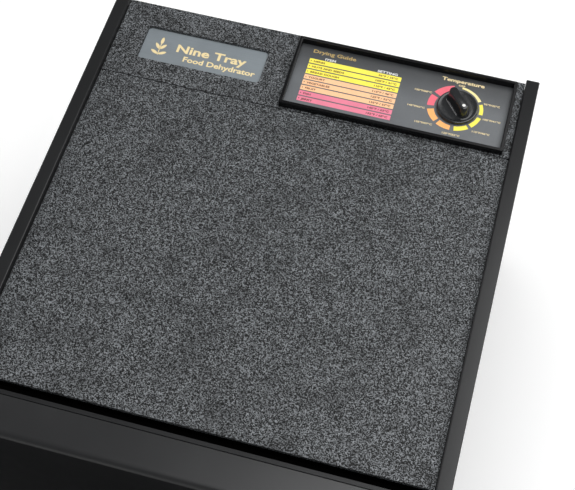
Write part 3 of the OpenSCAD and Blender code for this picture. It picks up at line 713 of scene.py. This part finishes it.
def add_words(shape, words, cap, place, side="LEFT", width=LETTER_WIDTH):
    """Flat, bold letters, cap millimetres high, on a line that starts, centres or ends at place."""
    curve = bpy.data.curves.new("words", "FONT")
    curve.body = words
    curve.align_x = side
    curve.resolution_u = 3
    curve.offset = BOLD
    # Half a unit to either side, so that the scale in Z is the letters' depth
    curve.extrude = 0.5
    text = bpy.data.objects.new("words", curve)
    bpy.context.scene.collection.objects.link(text)
    bpy.context.view_layer.update()
    flat = bpy.data.meshes.new_from_object(text.evaluated_get(bpy.context.evaluated_depsgraph_get()))
    scale, depth = cap * MM / CAP_HEIGHT, sizes().print_depth
    flat.transform(Matrix.Translation(Vector(place) + Vector((0, 0, depth / 2)))
                   @ Matrix.Diagonal((scale * width, scale, depth, 1)))
    shape.from_mesh(flat)
    bpy.data.objects.remove(text)
    bpy.data.curves.remove(curve)
    bpy.data.meshes.remove(flat)


def loft(shape, levels, sides):
    """Closed skin through level rings, each (height, reach, radius): a circle pulled out along X."""
    turn = Matrix.Rotation(math.pi / sides, 4, "Z")
    ring = bmesh.ops.create_circle(
        shape, cap_ends=True, segments=sides, radius=1, matrix=turn)["verts"]
    edges = list(dict.fromkeys(edge for corner in ring for edge in corner.link_edges))
    pulled = 0
    for index, (height, reach, radius) in enumerate(levels):
        if index:
            grown = bmesh.ops.extrude_edge_only(shape, edges=edges)["geom"]
            ring = of_kind(grown, bmesh.types.BMVert)
            edges = [edge for edge in of_kind(grown, bmesh.types.BMEdge) if edge.is_boundary]
        for corner in ring:
            way = math.copysign(1, corner.co.x)
            spoke = Vector((corner.co.x - way * pulled, corner.co.y, 0)).normalized()
            corner.co = (spoke * radius + Vector((way * reach, 0, height))) * MM
        pulled = reach * MM
    bmesh.ops.contextual_create(shape, geom=edges)


def knob_axis():
    """Where the knob's axis meets the panel's film."""
    low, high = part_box("temperature_knob")
    return Vector(((low.x + high.x) / 2, (low.y + high.y) / 2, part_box("control_panel")[1].z))


# ---- operators ----


class DEHYDRATOR_OT_finishes(bpy.types.Operator):
    """Makes every finish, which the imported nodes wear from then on"""

    bl_idname = "dehydrator.finishes"
    bl_label = "Finishes"

    def execute(self, context):
        for finish in FINISHES:
            finish(Graph(finish.__name__))
        for name, colour in INKS.items():
            printing_ink(Graph(name), colour)
        return {"FINISHED"}


class DEHYDRATOR_OT_shells(bpy.types.Operator):
    """Rounds the edges of the case, the door, the controls and the motor"""

    bl_idname = "dehydrator.shells"
    bl_label = "Case and door"

    def execute(self, context):
        for node, (radius, steps) in ROUNDED.items():
            shell = rounded_node(node, radius, steps)
            if node == "front_frame":
                shell.data.materials[0] = bpy.data.materials["frame_black"]
        return {"FINISHED"}


class DEHYDRATOR_OT_trays(bpy.types.Operator):
    """Makes the nine trays with rounded edges, and a net of crossing strands on each"""

    bl_idname = "dehydrator.trays"
    bl_label = "Trays and nets"

    edge_radius = 0.4

    def net(self, node):
        """Strands in two crossing layers, and a hem round them."""
        low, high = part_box(node)
        pitch, strand, hem = sizes().net_pitch, sizes().net_strand, sizes().net_hem
        shape = bmesh.new()
        count = round((high.x - low.x) / pitch)
        step = (high.x - low.x) / count
        for index in range(1, count):
            x, y = low.x + index * step, low.y + index * step
            add_box(shape, (x - strand / 2, low.y, low.z), (x + strand / 2, high.y, low.z + strand))
            add_box(shape, (low.x, y - strand / 2, high.z - strand), (high.x, y + strand / 2, high.z))
        add_box(shape, low, (low.x + hem, high.y, high.z))
        add_box(shape, (high.x - hem, low.y, low.z), high)
        add_box(shape, low, (high.x, low.y + hem, high.z))
        add_box(shape, (low.x, high.y - hem, low.z), high)
        piece(f"{node}_net", shape, SLOTS[node], BODIES[node], [node])

    def execute(self, context):
        for number in TRAYS:
            rounded_node(f"tray_{number}", self.edge_radius, 1)
            self.net(f"mesh_screen_{number}")
        return {"FINISHED"}


class DEHYDRATOR_OT_knob(bpy.types.Operator):
    """Makes the knob: a dished skirt with a raised rim, a flared grip and a white dot"""

    bl_idname = "dehydrator.knob"
    bl_label = "Knob"

    # Height above the panel, pull along the grip and radius, from inside the bore to the grip's top
    levels = [
        (12.2, 0, 3.05), (3.2, 0, 3.05), (3.2, 0, 8.6), (1.0, 0, 8.6), (1.0, 0, 19.3),
        (1.3, 0, 19.8), (1.8, 0, 20.0), (3.2, 0, 19.9), (3.7, 0, 19.6), (3.95, 0, 19.1),
        (3.95, 0, 18.4), (3.7, 0, 17.7), (3.6, 0, 17.1), (3.6, 9.4, 7.3), (3.7, 9.4, 6.9),
        (4.2, 9.4, 6.3), (5.4, 9.5, 5.7), (8, 9.7, 5.2), (12, 9.85, 4.7), (16.2, 10, 4.2),
        (16.8, 10, 4.0), (17.15, 10, 3.6), (17.28, 10, 3.1),
    ]
    # The same for the dot, with heights above the grip's top
    dot_levels = [(-0.3, 0, 1.55), (0.04, 0, 1.55), (0.1, 0, 1.4)]
    dot_reach = 10
    sides = 96

    def execute(self, context):
        turn = Matrix.Translation(knob_axis()) @ Matrix.Rotation(sizes().grip_turn, 4, "Z")
        shape = bmesh.new()
        loft(shape, self.levels, self.sides)
        for face in shape.faces:
            face.smooth = len(face.verts) == 4
        bmesh.ops.transform(shape, matrix=turn, verts=shape.verts)
        grip = piece("knob_grip", shape, "gloss_black", "knob", ["temperature_knob"])
        grip.data.materials[0] = bpy.data.materials["knob_black"]
        grip.data.set_sharp_from_angle(angle=SHARP_ANGLE)
        dot = bmesh.new()
        top = self.levels[-1][0]
        loft(dot, [(top + rise, pull, radius) for rise, pull, radius in self.dot_levels],
             self.sides // 2)
        bmesh.ops.translate(dot, verts=dot.verts, vec=(self.dot_reach * MM, 0, 0))
        bmesh.ops.transform(dot, matrix=turn, verts=dot.verts)
        piece("knob_dot", dot, "knob_white", "knob")
        return {"FINISHED"}


class DEHYDRATOR_OT_dial(bpy.types.Operator):
    """Prints the ring of coloured segments round the knob, and its figures"""

    bl_idname = "dehydrator.dial"
    bl_label = "Dial"

    # The ring's width grows from narrow at the first angle to wide at the last
    first_angle = 85
    last_angle = -258
    narrow = 2.3
    wide = 8.2
    step_angle = 3
    off_centre = Vector((-1.9, 0.3, 0)) * MM
    figure_cap = 2.0
    heading_cap = 4.2
    heading_rise = 31.6

    def band(self, angle):
        """Width of the ring at an angle, which grows clockwise."""
        share = (self.first_angle - angle) / (self.first_angle - self.last_angle)
        return (self.narrow + (self.wide - self.narrow) * share) * MM

    def segment(self, shape, centre, first, last):
        """One segment, spun from a radial edge whose inner end then moves to the ring's width."""
        radius, depth = sizes().dial_radius, sizes().print_depth
        start = math.radians(first)
        reaches = (radius / 2, radius)
        ends = [shape.verts.new(centre + Vector((math.cos(start), math.sin(start), 0)) * reach)
                for reach in reaches]
        edge = shape.edges.new(ends)
        steps = max(2, round(abs(first - last) / self.step_angle))
        known = set(shape.verts) - set(ends)
        bmesh.ops.spin(shape, geom=[*ends, edge], cent=centre, axis=(0, 0, 1),
                       angle=math.radians(last - first), steps=steps)
        fresh = [corner for corner in shape.verts if corner not in known]
        halfway = sum(reaches) / 2
        for corner in fresh:
            spoke = corner.co - centre
            if spoke.length < halfway:
                # Angles fall clockwise from the first one, also past -180 degrees
                angle = math.degrees(math.atan2(spoke.y, spoke.x))
                while angle > first + 1:
                    angle -= 360
                corner.co = centre + spoke.normalized() * (radius - self.band(angle))
        raise_faces(shape, faces_at(fresh), depth)

    def execute(self, context):
        axis = knob_axis()
        for ink in dict.fromkeys(ink for _, _, ink in DIAL):
            shape = bmesh.new()
            for first, last, own_ink in DIAL:
                if own_ink == ink:
                    self.segment(shape, axis + self.off_centre, first, last)
            piece(f"dial_{ink}", shape, ink, "case")
        figures = bmesh.new()
        for words, (x, y), side in FIGURES:
            add_words(figures, words, self.figure_cap,
                      axis + Vector((x, y - self.figure_cap / 2, 0)) * MM, side)
        add_words(figures, "Temperature", self.heading_cap,
                  axis + Vector((0, self.heading_rise, 0)) * MM, "CENTER")
        piece("dial_figures", figures, "ink_pale_gold", "case")
        return {"FINISHED"}


class DEHYDRATOR_OT_guide(bpy.types.Operator):
    """Prints the drying guide: heading, eight coloured rows and their words"""

    bl_idname = "dehydrator.guide"
    bl_label = "Drying guide"

    # Millimetres from the panel's left and upper edges
    left = 13.2
    top = 17.9
    heading_left = 14.0
    heading_line = 10.0
    column_line = 17.0
    columns = [("ITEM", 33.5), ("SETTING", 91.5)]

    # Sizes of the rows, their letters and their bullets, and how far these stand in from a row's ends
    width = 92.8
    pitch = 6.9
    row = 5.6
    corner = 0.4
    heading_cap = 4.3
    column_cap = 2.8
    word_cap = 2.2
    item_inset = 4.3
    setting_inset = 3.0
    bullet_inset = 1.8
    bullet = 0.55

    # The arcs of a bullet's corners stop just short of one another
    bullet_roundness = 0.98

    def execute(self, context):
        low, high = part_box("control_panel")
        corner = Vector((low.x, high.y, high.z))
        depth = sizes().print_depth
        left, right = corner.x + self.left * MM, corner.x + (self.left + self.width) * MM
        for ink in dict.fromkeys(ink for _, _, ink in GUIDE):
            rows = bmesh.new()
            for number, (_, _, own_ink) in enumerate(GUIDE):
                upper = corner.y - (self.top + number * self.pitch) * MM
                if own_ink == ink:
                    outline = rounded_corners((left, upper - self.row * MM), (right, upper),
                                              self.corner * MM)
                    add_outline(rows, outline, corner.z, depth)
            piece(f"guide_rows_{ink}", rows, ink, "case")
        words = bmesh.new()
        on_row = corner.z + depth
        for number, (food, setting, _) in enumerate(GUIDE):
            middle = corner.y - (self.top + number * self.pitch + self.row / 2) * MM
            line = middle - self.word_cap / 2 * MM
            add_words(words, food, self.word_cap, (left + self.item_inset * MM, line, on_row))
            add_words(words, setting, self.word_cap,
                      (right - self.setting_inset * MM, line, on_row), "RIGHT")
            centre, half = left + self.bullet_inset * MM, self.bullet * MM
            outline = rounded_corners((centre - half, middle - half), (centre + half, middle + half),
                                      half * self.bullet_roundness)
            add_outline(words, outline, on_row, depth)
        piece("guide_words", words, "ink_dark", "case")
        titles = bmesh.new()
        for title, across in self.columns:
            add_words(titles, title, self.column_cap,
                      corner + Vector((across, -self.column_line, 0)) * MM, "CENTER")
        piece("guide_columns", titles, "ink_white", "case")
        heading = bmesh.new()
        add_words(heading, "Drying Guide", self.heading_cap,
                  corner + Vector((self.heading_left, -self.heading_line, 0)) * MM)
        piece("guide_heading", heading, "ink_gold", "case")
        return {"FINISHED"}


class DEHYDRATOR_OT_badge(bpy.types.Operator):
    """Prints plain words and a leaf sprig in gold on the badge plate"""

    bl_idname = "dehydrator.badge"
    bl_label = "Badge"

    # The sprig's root from the plate's left edge and below its middle, its stem, and its leaves
    sprig_x = 18
    sprig_drop = 11
    stem_width = 0.8
    stem_length = 14
    leaf_start = 1
    leaf_step = 6.4
    leaf_length = 9
    leaf_sides = 20
    leaf_slimness = 0.36
    leaf_turns = [-62, 62, -38, 38, 0]

    # Words, cap height, letter width, distance from the plate's left edge, rise above its middle
    lines = [("Nine Tray", 9.6, 1.32, 34, -2.2), ("Food Dehydrator", 6.3, 1.2, 44, -12.4)]

    def leaf(self, shape, root, turn):
        """A pointed leaf that grows from root, turned from straight up."""
        half = self.leaf_length / 2 * MM
        blade = bmesh.ops.create_circle(
            shape, cap_ends=True, segments=self.leaf_sides, radius=half)["verts"]
        for corner in blade:
            corner.co.x *= self.leaf_slimness * math.sqrt(max(0, 1 - (corner.co.y / half) ** 4))
            corner.co.y += half
        place = Matrix.Translation(root) @ Matrix.Rotation(math.radians(turn), 4, "Z")
        bmesh.ops.transform(shape, matrix=place, verts=blade)
        raise_faces(shape, faces_at(blade), sizes().print_depth)

    def execute(self, context):
        low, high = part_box("badge_plate")
        middle = (low.y + high.y) / 2
        shape = bmesh.new()
        root = Vector((low.x + self.sprig_x * MM, middle - self.sprig_drop * MM, high.z))
        half = self.stem_width / 2 * MM
        add_box(shape, root - Vector((half, 0, 0)),
                root + Vector((half, self.stem_length * MM, sizes().print_depth)))
        for index, turn in enumerate(self.leaf_turns):
            rise = (self.leaf_start + self.leaf_step * (index // 2)) * MM
            self.leaf(shape, root + Vector((0, rise, 0)), turn)
        for words, cap, width, across, rise in self.lines:
            place = (low.x + across * MM, middle + rise * MM, high.z)
            add_words(shape, words, cap, place, width=width)
        piece("badge_print", shape, "ink_pale_gold", "case")
        return {"FINISHED"}


class DEHYDRATOR_OT_fan(bpy.types.Operator):
    """Makes the fan: a rounded hub with cambered, twisted blades"""

    bl_idname = "dehydrator.fan"
    bl_label = "Fan"

    # The hub's section from one end to the other: shares of its radius and of the fan's length
    hub_radius = 13
    hub_section = [(0.7, -0.5), (0.93, -0.44), (1, -0.32), (1, 0.36), (0.9, 0.46), (0.62, 0.5)]
    hub_sides = 48

    # The blades, which start inside the hub
    root_radius = 12
    tip_gap = 0.3
    root_chord = 20
    tip_chord = 34
    root_pitch = 38
    tip_pitch = 24
    camber = 0.09
    blade_depth = 1.4
    chord_steps = 8
    stations = 14

    def blade(self, shape, reach, turn):
        """One blade along +Z from the hub, its pitch falling towards the tip."""
        grid = bmesh.ops.create_grid(
            shape, x_segments=self.chord_steps, y_segments=self.stations, size=0.5)["verts"]
        root = self.root_radius * MM
        for corner in grid:
            across, along = corner.co.x, corner.co.y + 0.5
            chord = (self.root_chord + (self.tip_chord - self.root_chord) * along) * MM
            pitch = math.radians(self.root_pitch + (self.tip_pitch - self.root_pitch) * along)
            bow = self.camber * chord * (1 - 4 * across ** 2)
            radius = root + along * (reach - root)
            side = across * chord * math.cos(pitch) + bow * math.sin(pitch)
            depth = across * chord * math.sin(pitch) - bow * math.cos(pitch)
            corner.co = (side, depth, math.sqrt(max(radius ** 2 - side ** 2, 0)))
        bmesh.ops.solidify(shape, geom=faces_at(grid), thickness=self.blade_depth * MM)
        # The faces of earlier blades are tagged, and stay where they are
        solid = dict.fromkeys(corner for face in shape.faces if not face.tag for corner in face.verts)
        bmesh.ops.rotate(shape, verts=list(solid), cent=(0, 0, 0), matrix=Matrix.Rotation(turn, 3, "Y"))
        for face in shape.faces:
            face.tag = True

    def execute(self, context):
        low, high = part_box("fan_blade")
        length = high.y - low.y
        # The shaft's axis is at x = 0, so the side of its box is at its radius
        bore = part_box("motor_shaft")[1].x
        count = sizes().blade_count
        shape = bmesh.new()
        for number in range(count):
            reach = (high.z - low.z) / 2 - self.tip_gap * MM
            self.blade(shape, reach, 2 * math.pi * number / count)
        section = [(share * self.hub_radius * MM, place) for share, place in self.hub_section]
        section = [(bore, section[0][1]), *section, (bore, section[-1][1])]
        ring = [shape.verts.new((radius, place * length, 0)) for radius, place in section]
        edges = [shape.edges.new(pair) for pair in zip(ring, ring[1:] + ring[:1])]
        bmesh.ops.spin(shape, geom=[*ring, *edges], cent=(0, 0, 0), axis=(0, 1, 0),
                       angle=2 * math.pi, steps=self.hub_sides, use_merge=True)
        bmesh.ops.translate(shape, verts=shape.verts, vec=(low + high) / 2)
        for face in shape.faces:
            face.smooth = True
        made = piece("fan_wheel", shape, SLOTS["fan_blade"], BODIES["fan_blade"], ["fan_blade"])
        made.data.set_sharp_from_angle(angle=SHARP_ANGLE)
        return {"FINISHED"}


class DEHYDRATOR_OT_screws(bpy.types.Operator):
    """Rounds the screw heads and sinks a six-lobed socket in each"""

    bl_idname = "dehydrator.screws"
    bl_label = "Screws"

    # The head's rounded edge, the rest of its rim, the socket's depth, and the share by which its
    # lobes swing in and out
    edge = 0.5
    edge_steps = 3
    rim = 1.4
    socket_depth = 1.0
    lobe = 0.2

    # A head's flat top has more corners than this, and is level within this distance
    fewest_corners = 12
    slack = 0.1

    def heads(self, shape, outward):
        """The flat faces on top of the screws' heads."""
        level = max(corner.co.dot(outward) for corner in shape.verts) - self.slack * MM
        return [face for face in shape.faces
                if len(face.verts) > self.fewest_corners
                and face.normal.angle(outward, math.pi) < FLAT_ANGLE
                and face.calc_center_median().dot(outward) > level]

    def socket(self, shape, head, outward):
        """Turns a head's inset face into a six-lobed socket."""
        centre = head.calc_center_median()
        start = (head.verts[0].co - centre).normalized()
        side = outward.cross(start)
        for corner in head.verts:
            spoke = corner.co - centre
            angle = math.atan2(spoke.dot(side), spoke.dot(start))
            corner.co = centre + spoke * (1 + self.lobe * math.cos(6 * angle))
        sunk = bmesh.ops.extrude_discrete_faces(shape, faces=[head])["faces"]
        bmesh.ops.translate(shape, verts=sunk[0].verts, vec=-outward * self.socket_depth * MM)

    def execute(self, context):
        for node, facing in SCREWS.items():
            outward = Vector(facing)
            shape = merged(node)
            shape.normal_update()
            rims = [edge for head in self.heads(shape, outward) for edge in head.edges]
            bmesh.ops.bevel(shape, geom=rims, offset=self.edge * MM, offset_type="OFFSET",
                            segments=self.edge_steps, profile=0.5, affect="EDGES",
                            clamp_overlap=True, material=-1)
            heads = self.heads(shape, outward)
            bmesh.ops.inset_individual(shape, faces=heads, thickness=self.rim * MM)
            for head in heads:
                self.socket(shape, head, outward)
            piece(f"{node}_set", shape, SLOTS[node], BODIES[node], [node])
        return {"FINISHED"}


class DEHYDRATOR_OT_stage(bpy.types.Operator):
    """Sets the pale floor, the soft studio light and the camera"""

    bl_idname = "dehydrator.stage"
    bl_label = "Stage"

    # Half the floor's width in metres, the light that it gives off, and the light all round
    floor_half = 6
    floor_glow = 0.16
    world_strength = 0.26

    # The camera's place, its turns and its focal length
    eye = Vector((176.7, -586.2, 1302.3)) * MM
    azimuth = math.radians(14.33)
    elevation = math.radians(58.56)
    roll = math.radians(1.008)
    lens = 80.58

    # Name, radiance, width, depth, place, the point it faces, and whether it only lights or only shines
    lamps = [
        ("softbox_fill", 2.55, 2.8, 2.8, (0.35, 0.05, 2.3), (0.1, 0.05, 0.3), "lights"),
        ("softbox_gloss", 3.3, 3.2, 2.0, (1.05, 0.25, 1.95), (0.25, 0.25, 0.3), "shines"),
        ("strip_gloss", 9.0, 1.4, 0.2, (-1.4, 0.4, 0.6), (0.0, 0.1, 0.3), "shines"),
    ]

    # A card on the floor in front, which only reflections see: two opposite corners, in metres
    card = ((-0.9, -0.75, 0.002), (0.9, -0.246, 0.004))

    def lamp(self, name, radiance, width, depth, place, target, role):
        """A soft rectangular light."""
        light = bpy.data.lights.new(name, "AREA")
        light.shape = "RECTANGLE"
        light.size, light.size_y = width, depth
        light.energy = radiance * math.pi * width * depth
        holder = bpy.data.objects.new(name, light)
        holder.location = place
        holder.rotation_mode = "QUATERNION"
        holder.rotation_quaternion = (Vector(target) - Vector(place)).to_track_quat("-Z", "Y")
        holder.visible_glossy = role == "shines"
        holder.visible_diffuse = role == "lights"
        bpy.context.scene.collection.objects.link(holder)

    def backdrop(self, name, shape, paint):
        """A piece of the stage."""
        mesh = bpy.data.meshes.new(name)
        shape.to_mesh(mesh)
        shape.free()
        mesh.materials.append(paint)
        made = bpy.data.objects.new(name, mesh)
        bpy.context.scene.collection.objects.link(made)
        return made

    def camera(self):
        """The camera, looking down on the top from the front right."""
        lens = bpy.data.cameras.new("camera")
        lens.lens = self.lens
        lens.sensor_width = 36
        lens.clip_end = 50
        holder = bpy.data.objects.new("camera", lens)
        facing = Vector((-math.sin(self.azimuth) * math.cos(self.elevation),
                         math.cos(self.azimuth) * math.cos(self.elevation),
                         -math.sin(self.elevation)))
        holder.location = self.eye
        holder.rotation_mode = "QUATERNION"
        holder.rotation_quaternion = (facing.to_track_quat("-Z", "Y")
                                      @ Quaternion((0, 0, 1), self.roll))
        bpy.context.scene.collection.objects.link(holder)
        bpy.context.scene.camera = holder

    def floor(self):
        """A wide, pale floor that glows a little."""
        paint = Graph("floor_paint")
        cloud = paint.noise(paint.place(), 900)
        paint.surface({
            "Base Color": paint.tone((0.96, 0.96, 0.96), 0.99 + cloud * 0.02),
            "Roughness": 0.9,
            "Specular IOR Level": 0.1,
            "Emission Color": (1, 1, 1, 1),
            "Emission Strength": self.floor_glow,
        })
        shape = bmesh.new()
        bmesh.ops.create_grid(shape, x_segments=4, y_segments=4, size=self.floor_half)
        self.backdrop("floor", shape, paint.material)

    def dark_card(self):
        """The card that darkens what the door reflects."""
        paint = Graph("card_paint")
        paint.surface({"Base Color": (0.004, 0.004, 0.004, 1), "Roughness": 1.0,
                       "Specular IOR Level": 0.0})
        shape = bmesh.new()
        add_box(shape, *self.card)
        made = self.backdrop("dark_card", shape, paint.material)
        made.visible_camera = made.visible_diffuse = made.visible_shadow = False

    def world(self):
        """The even light all round."""
        made = bpy.data.worlds.new("studio")
        made.use_nodes = True
        light = made.node_tree.nodes["Background"]
        light.inputs["Color"].default_value = (1, 1, 1, 1)
        light.inputs["Strength"].default_value = self.world_strength
        bpy.context.scene.world = made

    def execute(self, context):
        self.floor()
        self.dark_card()
        self.world()
        context.scene.view_settings.view_transform = "Standard"
        for lamp in self.lamps:
            self.lamp(*lamp)
        self.camera()
        return {"FINISHED"}


OPERATORS = [
    DEHYDRATOR_OT_finishes, DEHYDRATOR_OT_shells, DEHYDRATOR_OT_trays, DEHYDRATOR_OT_knob,
    DEHYDRATOR_OT_dial, DEHYDRATOR_OT_guide, DEHYDRATOR_OT_badge, DEHYDRATOR_OT_fan,
    DEHYDRATOR_OT_screws, DEHYDRATOR_OT_stage,
]


class DEHYDRATOR_PT_sidebar(bpy.types.Panel):
    """Lists the pieces, and the sizes and colours that they take"""

    bl_label = "Dehydrator"
    bl_space_type = "VIEW_3D"
    bl_region_type = "UI"
    bl_category = "Dehydrator"

    def draw(self, context):
        for operator in OPERATORS:
            self.layout.operator(operator.bl_idname)
        for group in (context.scene.dehydrator_sizes, context.scene.dehydrator_colours):
            for name in group.__annotations__:
                self.layout.prop(group, name)


CLASSES = [DehydratorSizes, DehydratorColours, *OPERATORS, DEHYDRATOR_PT_sidebar]


def register():
    for kind in CLASSES:
        bpy.utils.register_class(kind)
    bpy.types.Scene.dehydrator_sizes = PointerProperty(type=DehydratorSizes)
    bpy.types.Scene.dehydrator_colours = PointerProperty(type=DehydratorColours)


def unregister():
    del bpy.types.Scene.dehydrator_colours
    del bpy.types.Scene.dehydrator_sizes
    for kind in reversed(CLASSES):
        bpy.utils.unregister_class(kind)


def main():
    register()
    for operator in OPERATORS:
        family, name = operator.bl_idname.split(".")
        getattr(getattr(bpy.ops, family), name)()


if __name__ == "__main__":
    main()
